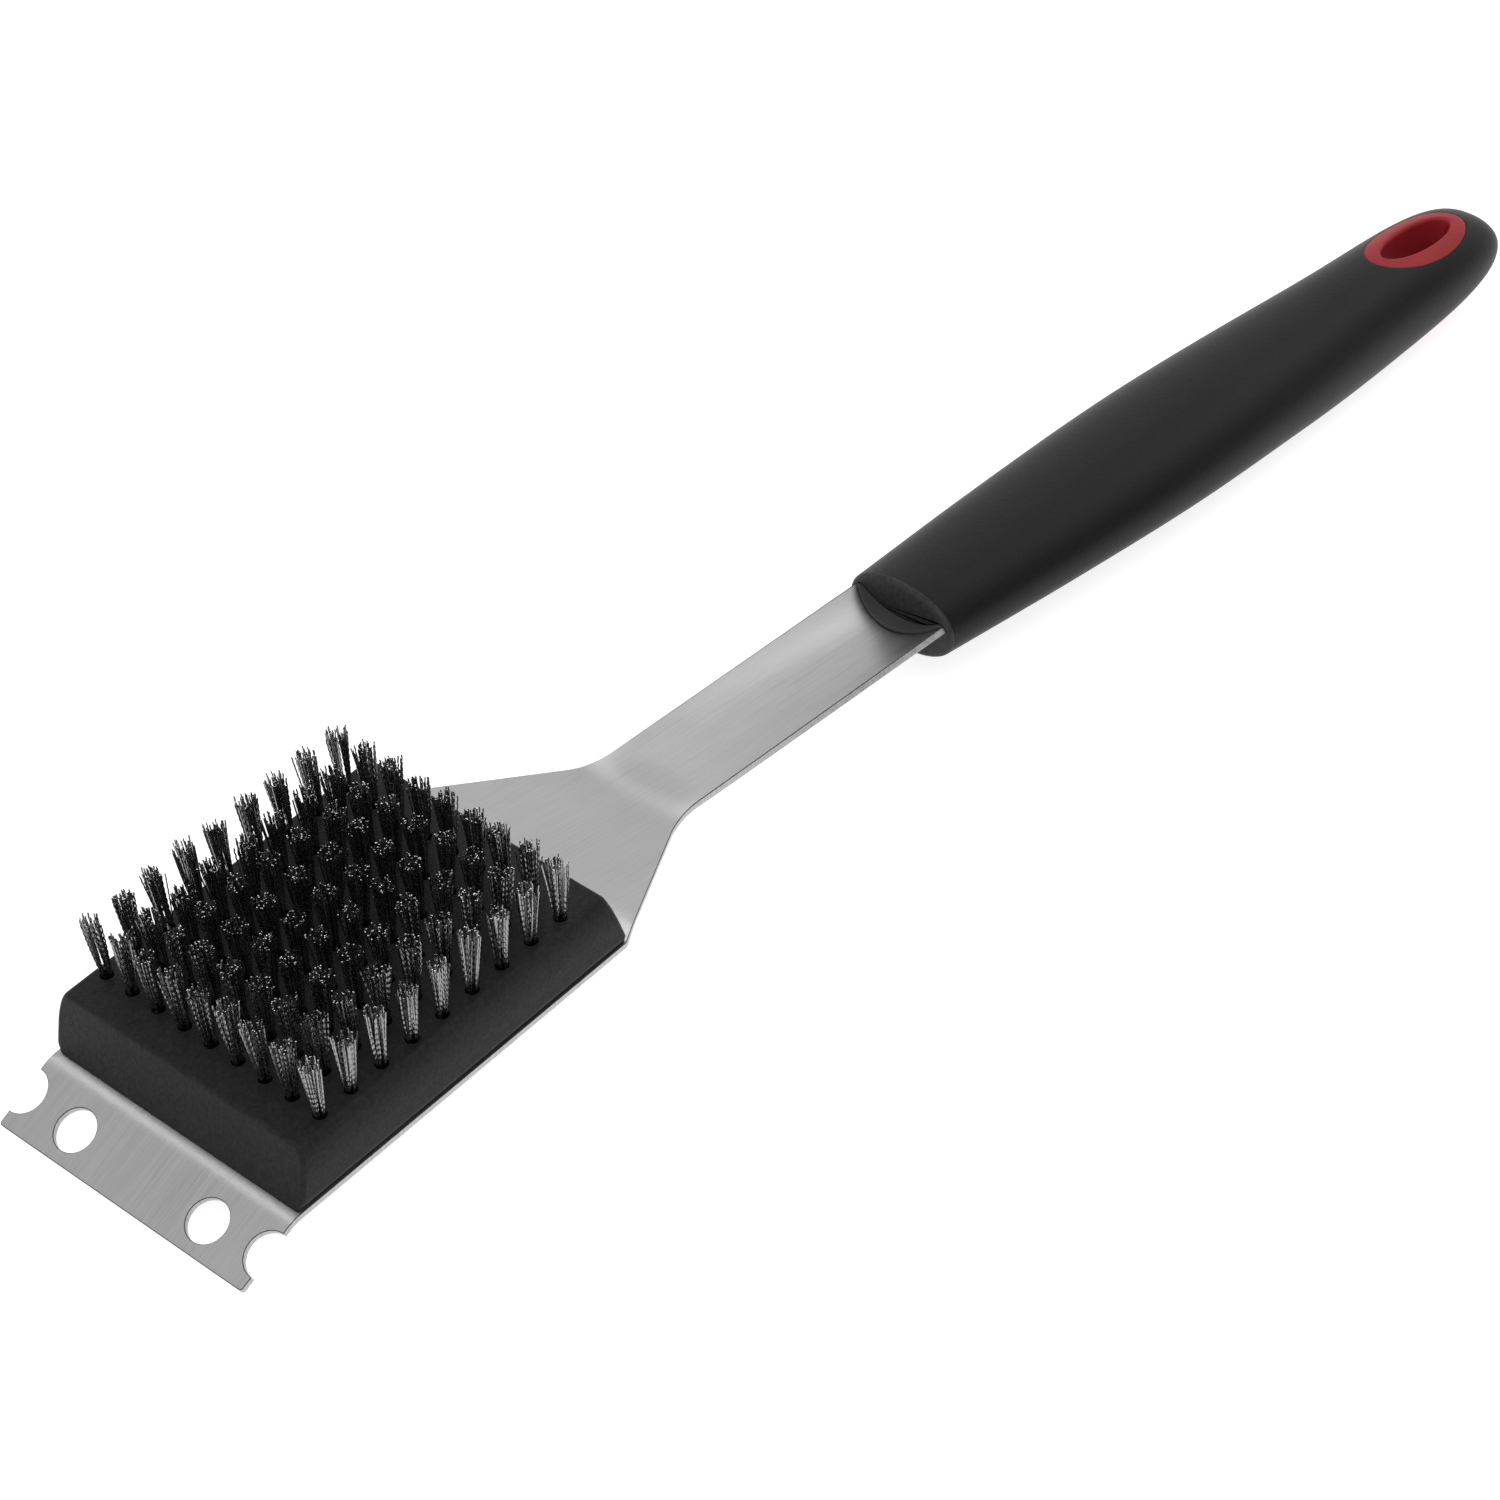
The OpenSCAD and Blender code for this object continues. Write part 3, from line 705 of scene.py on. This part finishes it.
def tail_patch(mesh, outer, inner, inset, side, end_x):
    """Loops of the handle's upper or lower surface, from the edge at the hang hole out to the outline. At the
    outline both surfaces meet at the handle's middle height."""
    loops = []
    for k in range(PATCH_ROWS + 1):
        share = 1 - (1 - k / PATCH_ROWS) ** PATCH_CROWDING
        plan = inner + (outer - inner) * share
        height = handle_height(plan, inset, side)
        if k == PATCH_ROWS:
            on_side = (np.arange(OVAL_POINTS) > OVAL_FRONT) & (plan[:, 0] < end_x - 1e-4)
            height[on_side] = centre_height(plan[on_side, 0])
        loops.append(mesh.add(np.column_stack([plan, height])))
    return loops


def handle_skin(mesh, from_x, inset_at, end_x, rounding):
    """One skin of the grip, open at the front: rings along it, then two patches round the hang hole. Its edge
    at the hole turns in with a radius of rounding. The result is its front ring and its loops at the hole."""
    places = np.linspace(from_x, TAIL_FROM, BODY_RINGS)
    rings = [mesh.add(handle_ring(x, x, inset_at(x))) for x in places]
    mesh.faces += strips(rings)
    inset = inset_at(TAIL_FROM)
    outer = tail_outline(inset, end_x)
    inner = hang_outline(LINER_T + rounding)
    rims, hole_loops = [], []
    for side in (1, -1):
        loops = tail_patch(mesh, outer, inner, inset, side, end_x)
        mesh.faces += strips(loops)
        edge = [loops[0]]
        for a in np.radians((60, 30, 0)) if rounding else ():
            plan = hang_outline(LINER_T + rounding * (1 - math.cos(a)))
            drop = rounding * (1 - math.sin(a))
            height = handle_height(inner, inset, side) - side * drop
            edge.append(mesh.add(np.column_stack([plan, height])))
        mesh.faces += strips(edge)
        hole_loops.append(edge[-1])
        rims.append(loops[-1][OVAL_FRONT:] + loops[-1][:1])
    mesh.faces += strips(rims, closed=False)
    return rings[0], hole_loops


def blade_crossing(x, contour):
    """Where the plane at x in the handle frame cuts lines along the blade. Each line is a place across the
    sheet and a depth below its upper surface. The result is Y and Z."""
    start, stop = along_at(MOUTH_X - CROSSING_BEFORE), along_at(MOUTH_X + CROSSING_AFTER)
    s = np.linspace(start, stop, CROSSING_POINTS)
    out = []
    for y, depth in contour:
        line = blade_place(np.column_stack([s, np.full(len(s), y)]), np.full(len(s), depth))
        line = from_head(line)
        out.append([np.interp(x + HANDLE_X, line[:, 0], line[:, k]) for k in (1, 2)])
    return np.array(out)


def front_slot(margin):
    """Contour round the strap and the tongue on top of it, as places across the sheet and depths."""
    half = STRAP_W / 2 + margin
    top, bottom = -TONGUE_T - margin, SHEET_T + margin
    under = [(y, bottom) for y in np.linspace(-half, half, SLOT_POINTS_UNDER)]
    over = [(y, top) for y in np.linspace(TONGUE_HALF, -TONGUE_HALF, SLOT_POINTS_OVER)]
    return [*under, (half, bottom / 2), (half, -margin), *over, (-half, -margin), (-half, bottom / 2)]


def front_face(mesh, ring, hole):
    """Faces of one side of the front wall, between the handle's ring and the slot, with a grid between."""
    loops = [mesh.all()[loop] for loop in (ring, hole)]
    flat = [loop[:, 1:] for loop in loops]
    grid = grid_inside(flat, FRONT_GRID, FRONT_GRID_MARGIN)
    numbers = ring + hole + mesh.add(np.column_stack([np.full(len(grid), loops[0][0, 0]), grid]))
    return [[numbers[i] for i in f] for f in triangles(flat, grid)]


def make_grip(material, front_light_material):
    """Outer and inner skin, joined by the front wall, its slot and the hang hole's sides. The front and its
    rounded rim have a lighter copy of the rubber: painted light on the shaded front face and a painted
    highlight on the rim."""
    mesh = Builder()
    front, holes = handle_skin(mesh, MOUTH_ROUND, lambda x: 0.0, HANDLE_L - TAIL_TRIM, HOLE_EDGE_ROUND)
    within, inner_holes = handle_skin(mesh, FRONT_WALL, grip_thickness, CORE_END, 0)
    rim = [front]
    for a in ROUNDING_ANGLES:
        x, inset = MOUTH_ROUND * (1 - math.sin(a)), MOUTH_ROUND * (1 - math.cos(a))
        rim.append(mesh.add(handle_ring(x, MOUTH_ROUND, inset)))
    slot = []
    step = SLOT_ROUND * 0.3
    for x, margin in ((0, SEAM + SLOT_ROUND), (step, SEAM + step), (SLOT_ROUND, SEAM), (FRONT_WALL, SEAM)):
        cut = blade_crossing(x, front_slot(margin))
        slot.append(mesh.add(np.column_stack([np.full(len(cut), x), cut])))
    mesh.faces += strips(slot)
    for outside, inside_loop in zip(holes, inner_holes):
        mesh.faces += strips([outside, inside_loop])
    front_from = len(mesh.faces)
    mesh.faces += strips(rim)
    mesh.faces += front_face(mesh, rim[-1], slot[0])
    mesh.faces += front_face(mesh, within, slot[-1])
    front_faces = range(front_from, len(mesh.faces))
    points = from_handle(mesh.all())
    piece = make_mesh("grip", points, mesh.faces, (material, front_light_material), [front_faces])
    declare(piece, "grip_sleeve")


def make_liner(material):
    """A ring round the hang hole. Its section is places out from the hole and depths below the handle's
    surface: a small rounding at the seam with the grip, a flat top, and a lip that rolls into the hole."""
    mesh = Builder()
    lip, seam = LINER_LIP, HOLE_EDGE_ROUND
    flat = LINER_T - lip - seam
    section = [(LINER_T, LINER_SEAM_DEPTH), (LINER_T, seam)]
    section += [(LINER_T - seam * 0.3, seam * 0.3), (LINER_T - seam, 0)]
    section += [(lip + flat * k / LINER_TOP_STEPS, 0) for k in reversed(range(LINER_TOP_STEPS))]
    section += [(lip * (1 - math.sin(a)), lip * (1 - math.cos(a))) for a in ROUNDING_ANGLES]
    section += [(0, lip + depth) for depth in LINER_WALL]
    loops = []
    for side, rows in ((1, section), (-1, section[::-1])):
        for margin, drop in rows:
            plan = hang_outline(margin)
            height = handle_height(plan, 0, side) - side * drop
            loops.append(mesh.add(np.column_stack([plan, height])))
    mesh.faces += strips(loops + [loops[0]])
    piece = make_mesh("hole_liner", from_handle(mesh.all()), mesh.faces, (material,))
    declare(piece, "hang_hole_liner")


# ---------------------------------------------------------------- materials


class Shader:
    """A principled material made of nodes, with positions in metres along the object's own axes."""

    def __init__(self, name, **values):
        self.material = bpy.data.materials.new(name)
        self.material.use_nodes = True
        self.nodes = self.material.node_tree.nodes
        self.links = self.material.node_tree.links
        self.base = self.nodes["Principled BSDF"]
        for key, value in values.items():
            self.base.inputs[key.replace("_", " ").title().replace("Ior", "IOR")].default_value = value
        self.place = self.nodes.new("ShaderNodeTexCoord").outputs["Object"]
        self.bumps = None

    def node(self, kind, inputs, **settings):
        """A node with its inputs linked where they come from a socket and set where they are values."""
        node = self.nodes.new(kind)
        for key, value in settings.items():
            setattr(node, key, value)
        for key, value in inputs.items():
            if hasattr(value, "is_output"):
                self.links.new(value, node.inputs[key])
            else:
                node.inputs[key].default_value = value
        return node

    def noise(self, scale, detail=3, stretch=(1, 1, 1), rough=0.5):
        """Noise of so many cells a metre, from 0 to 1."""
        placed = self.node("ShaderNodeMapping", {"Vector": self.place, "Scale": stretch})
        node = self.node("ShaderNodeTexNoise", {
            "Vector": placed.outputs["Vector"], "Scale": scale, "Detail": detail, "Roughness": rough,
        })
        return node.outputs["Fac"]

    def between(self, value, low, high, start=0.3, stop=0.7):
        """value from start to stop becomes a number from low to high."""
        node = self.node("ShaderNodeMapRange", {
            "Value": value, "From Min": start, "From Max": stop, "To Min": low, "To Max": high,
        })
        return node.outputs["Result"]

    def colour(self, value, low, high, start=0.3, stop=0.7):
        """value from start to stop becomes a colour from low to high."""
        node = self.node("ShaderNodeValToRGB", {"Fac": value})
        for element, mark, shade in zip(node.color_ramp.elements, (start, stop), (low, high)):
            element.position = mark
            element.color = (*shade, 1)
        return node.outputs["Color"]

    def mix(self, factor, a, b):
        """Colour a where factor is 0 and b where it is 1. A colour mix has these three numbered inputs."""
        node = self.node("ShaderNodeMix", {}, data_type="RGBA")
        for socket, value in ((0, factor), (6, a), (7, b)):
            if hasattr(value, "is_output"):
                self.links.new(value, node.inputs[socket])
            else:
                node.inputs[socket].default_value = value
        return node.outputs[2]

    def convex_edge_highlight(self):
        """1 on convex edges, 0 elsewhere: the mask of a painted edge highlight."""
        pointed = self.nodes.new("ShaderNodeNewGeometry").outputs["Pointiness"]
        return self.between(pointed, 0, 1, 0.52, 0.6)

    def set(self, key, value):
        self.links.new(value, self.base.inputs[key])

    def bump(self, value, height, strength=1.0):
        """Adds a relief of so many metres between value 0 and 1."""
        inputs = {"Height": value, "Distance": height, "Strength": strength}
        if self.bumps:
            inputs["Normal"] = self.bumps
        self.bumps = self.node("ShaderNodeBump", inputs).outputs["Normal"]
        self.set("Normal", self.bumps)


def grey(v):
    """A grey with a trace of blue."""
    return (v, v, v * 1.01)


def brushed_steel():
    """Grain that runs along the sheet, over faint clouds."""
    s = Shader("brushed_steel", metallic=1.0, anisotropic=0.5)
    grain = s.noise(1.0, 4, (45, 3000, 45), 0.75)
    streaks = s.colour(grain, grey(0.3), grey(0.49), 0.25, 0.75)
    clouds = s.colour(s.noise(38, 4), grey(0.38), grey(0.45))
    s.set("Base Color", s.mix(0.45, streaks, clouds))
    s.set("Roughness", s.between(grain, 0.28, 0.4))
    s.bump(grain, 0.000012)
    s.set("Tangent", s.node("ShaderNodeCombineXYZ", {"Y": 1.0}).outputs["Vector"])
    return s.material


def sheared_steel(name, low, high):
    """A cut edge of the sheet: duller than its faces, with scratches through its thickness. Given near-black
    greys, its colour is painted shade.
    """
    s = Shader(name, metallic=1.0)
    scratches = s.noise(1.0, 3, (2200, 2200, 300))
    s.set("Base Color", s.colour(scratches, grey(low), grey(high)))
    s.set("Roughness", s.between(scratches, 0.4, 0.6))
    s.bump(scratches, 0.00002)
    return s.material


def wire_steel():
    s = Shader("wire_steel", metallic=1.0)
    spots = s.noise(900, 2)
    fine = s.colour(spots, grey(0.2), grey(0.42))
    coarse = s.colour(s.noise(160, 2), grey(0.25), grey(0.38))
    s.set("Base Color", s.mix(0.5, fine, coarse))
    s.set("Roughness", s.between(spots, 0.2, 0.34))
    s.bump(s.noise(5000, 2), 0.000006)
    return s.material


def painted_end_glints():
    """The cut ends of the wires, with painted glints on a few bright ones and painted shade on the near-black
    rest.
    """
    s = Shader("painted_end_glints", metallic=1.0)
    spots = s.noise(1400, 2)
    # Bright spots are painted glints, the near-black rest is painted shade.
    s.set("Base Color", s.colour(spots, grey(0.03), grey(0.75), 0.5, 0.6))
    s.set("Roughness", s.between(spots, 0.25, 0.4))
    return s.material


def plain_steel(name, low, high, roughness):
    s = Shader(name, metallic=1.0)
    cloud = s.noise(420, 3)
    s.set("Base Color", s.colour(cloud, grey(low), grey(high)))
    s.set("Roughness", s.between(cloud, roughness, roughness + 0.12))
    s.bump(s.noise(2600, 3), 0.00001)
    return s.material


def block_plastic():
    """Grained plastic, speckled, and lighter on its convex edges, which is a painted highlight."""
    s = Shader("block_plastic", specular_ior_level=0.14)
    grain = s.noise(2400, 3, rough=0.6)
    speckle = s.noise(1000, 2)
    clouds = s.colour(s.noise(90, 4), grey(0.009), grey(0.012))
    specks = s.colour(speckle, grey(0.004), grey(0.019))
    # The lighter grey on convex edges is a painted highlight.
    s.set("Base Color", s.mix(s.convex_edge_highlight(), s.mix(0.5, clouds, specks), (0.018, 0.018, 0.018, 1)))
    s.set("Roughness", s.between(grain, 0.46, 0.6))
    s.bump(grain, 0.00008)
    s.bump(speckle, 0.00005)
    s.bump(s.noise(300, 2), 0.00006)
    return s.material


def core_plastic():
    s = Shader("core_plastic", specular_ior_level=0.35)
    grain = s.noise(1800, 3)
    s.set("Base Color", s.colour(s.noise(80, 3), grey(0.036), grey(0.046)))
    s.set("Roughness", s.between(grain, 0.44, 0.54))
    s.bump(grain, 0.00002)
    return s.material


def grip_rubber(name, low, high):
    """Matt rubber with a fine grain, a speckle and a slight waviness."""
    s = Shader(name, specular_ior_level=0.18)
    grain = s.noise(3200, 3, rough=0.6)
    speckle = s.noise(900, 2)
    clouds = s.colour(s.noise(34, 4), grey(low), grey(high))
    specks = s.colour(speckle, grey(low * 0.5), grey(high * 1.5))
    s.set("Base Color", s.mix(0.5, clouds, specks))
    s.set("Roughness", s.between(grain, 0.4, 0.5))
    s.bump(grain, 0.000028)
    s.bump(speckle, 0.00003)
    s.bump(s.noise(60, 2), 0.0001, 0.6)
    return s.material


def liner_plastic():
    s = Shader("liner_plastic", specular_ior_level=0.16, subsurface_weight=0.03, subsurface_scale=0.001)
    grain = s.noise(2200, 3)
    s.set("Base Color", s.colour(s.noise(120, 3), (0.23, 0.012, 0.017), (0.28, 0.015, 0.021)))
    s.set("Roughness", s.between(grain, 0.4, 0.52))
    s.bump(grain, 0.00002)
    return s.material


def floor_paint():
    s = Shader("floor_paint", roughness=0.9, emission_color=(1, 1, 1, 1), emission_strength=0.8)
    s.set("Base Color", s.colour(s.noise(3, 3), grey(0.42), grey(0.44)))
    return s.material


def paint_node(name, material):
    """A CAD node that stays gets a finish of its own."""
    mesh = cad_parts[name].data
    if not mesh.materials:
        mesh.materials.append(material)
    for k in range(len(mesh.materials)):
        mesh.materials[k] = material


# ---------------------------------------------------------------- studio

# The camera looks at VIEW_POINT, in millimetres. Its azimuth turns it from +Y towards +X.
VIEW_AZIMUTH, VIEW_ELEVATION, VIEW_ROLL = 48.357, 38.181, 0.304
VIEW_POINT, VIEW_DISTANCE, VIEW_LENS, SENSOR = (-38.4, 5.5, 0.0), 1003.98, 109.43, 36.0
# The sky's strength falls from the horizon to the zenith, and a share of it is left on its shaded side, whose
# shade sets in with the cosine of the angle from SHADE_SIDE.
SKY_HORIZON, SKY_ZENITH = 1.08, 0.66
SHADE_SIDE, SHADE_FROM, SHADE_TO, SHADE_LEFT = (-0.3, -0.95, 0), 0.0, 0.65, 0.3
FLOOR_HALF, FLOOR_GAP = 4.0, 0.0002


def make_camera():
    az, el, roll = (math.radians(a) for a in (VIEW_AZIMUTH, VIEW_ELEVATION, VIEW_ROLL))
    forward = Vector((math.sin(az) * math.cos(el), math.cos(az) * math.cos(el), -math.sin(el)))
    level = forward.cross(Vector((0, 0, 1))).normalized()
    right = level * math.cos(roll) + level.cross(forward) * math.sin(roll)
    up = right.cross(forward)
    camera = bpy.data.cameras.new("camera")
    camera.sensor_width, camera.lens = SENSOR, VIEW_LENS
    camera.clip_start, camera.clip_end = 0.05, 50.0
    holder = bpy.data.objects.new("camera", camera)
    bpy.context.collection.objects.link(holder)
    turn = Matrix((right, up, -forward)).transposed().to_4x4()
    place = (Vector(VIEW_POINT) - forward * VIEW_DISTANCE) * MM
    holder.matrix_world = Matrix.Translation(place) @ turn
    bpy.context.scene.camera = holder


def area_light(name, direction, distance, size, power):
    """A square soft light in a direction from the part's middle, facing it, in metres and watts."""
    light = bpy.data.lights.new(name, "AREA")
    light.shape, light.size, light.energy = "SQUARE", size, power
    holder = bpy.data.objects.new(name, light)
    bpy.context.collection.objects.link(holder)
    holder.location = Vector(direction).normalized() * distance
    holder.rotation_euler = Vector(direction).to_track_quat("Z", "Y").to_euler()


def make_floor():
    mesh = bpy.data.meshes.new("floor")
    corners = [(x * FLOOR_HALF, y * FLOOR_HALF, 0) for x, y in ((-1, -1), (1, -1), (1, 1), (-1, 1))]
    mesh.from_pydata(corners, [], [(0, 1, 2, 3)])
    mesh.materials.append(floor_paint())
    floor = bpy.data.objects.new("floor", mesh)
    bpy.context.collection.objects.link(floor)
    floor.location.z = cad_box[0].z - FLOOR_GAP


def set_inputs(node, **values):
    for key, value in values.items():
        node.inputs[key.replace("_", " ")].default_value = value


def make_sky():
    """A white sky, brightest at the horizon and shaded on one side."""
    world = bpy.data.worlds.new("studio")
    world.use_nodes = True
    nodes, links = world.node_tree.nodes, world.node_tree.links
    direction = nodes.new("ShaderNodeTexCoord").outputs["Generated"]
    height = nodes.new("ShaderNodeSeparateXYZ")
    links.new(direction, height.inputs["Vector"])
    fall = nodes.new("ShaderNodeMapRange")
    set_inputs(fall, To_Min=SKY_HORIZON, To_Max=SKY_ZENITH)
    links.new(height.outputs["Z"], fall.inputs["Value"])
    side = nodes.new("ShaderNodeVectorMath")
    side.operation = "DOT_PRODUCT"
    side.inputs[1].default_value = SHADE_SIDE
    links.new(direction, side.inputs[0])
    shade = nodes.new("ShaderNodeMapRange")
    set_inputs(shade, From_Min=SHADE_FROM, From_Max=SHADE_TO, To_Min=1, To_Max=SHADE_LEFT)
    links.new(side.outputs["Value"], shade.inputs["Value"])
    strength = nodes.new("ShaderNodeMath")
    strength.operation = "MULTIPLY"
    links.new(fall.outputs["Result"], strength.inputs[0])
    links.new(shade.outputs["Result"], strength.inputs[1])
    links.new(strength.outputs["Value"], nodes["Background"].inputs["Strength"])
    set_inputs(nodes["Background"], Color=(1, 1, 1, 1))
    bpy.context.scene.world = world


def make_lights():
    """One large light above the camera, and three more that parts of the steel mirror to the camera."""
    area_light("key_light", (-0.5, -0.55, 1), 1.7, 1.3, 16)
    area_light("back_light", (0.436, 0.522, 0.733), 1.9, 0.35, 1.5)
    area_light("right_light", (0.7, -0.04, 0.71), 1.9, 0.9, 3.1)
    area_light("bend_light", (-0.147, 0.57, 0.808), 1.9, 0.3, 1.0)


# ---------------------------------------------------------------- everything

softened("handle_core_upper", 0.1, core_plastic())
paint_node("handle_core_lower", core_plastic())
softened("block_screws", 0.3, plain_steel("screw_steel", 0.5, 0.62, 0.22))
paint_node("tang_pins", plain_steel("pin_steel", 0.48, 0.58, 0.25))
anchor_wire = plain_steel("anchor_wire", 0.42, 0.55, 0.3)
for row_number in range(1, TUFTS + 1):
    paint_node(f"anchor_row_{row_number}", anchor_wire)

# The roll's near-black material is painted shade: a dark line along the sheet's rounded upper edges.
sheared, rolled = sheared_steel("sheared_steel", 0.36, 0.56), sheared_steel("roll_painted_shade", 0.04, 0.1)
make_blade(brushed_steel(), sheared, rolled)
make_block(block_plastic())
# The wires' cut ends take a material of painted glints and painted shade.
wire, end_glint_material = wire_steel(), painted_end_glints()
for row_number in range(1, TUFTS + 1):
    make_tuft_row(row_number, wire, end_glint_material)
# The front's lighter rubber is painted light on the shaded front face and a painted highlight on its rim.
make_grip(grip_rubber("grip_rubber", 0.0015, 0.0025), grip_rubber("grip_front_painted_light", 0.021, 0.025))
make_liner(liner_plastic())
make_camera()
make_floor()
make_sky()
make_lights()
bpy.context.scene.view_settings.view_transform = "Standard"
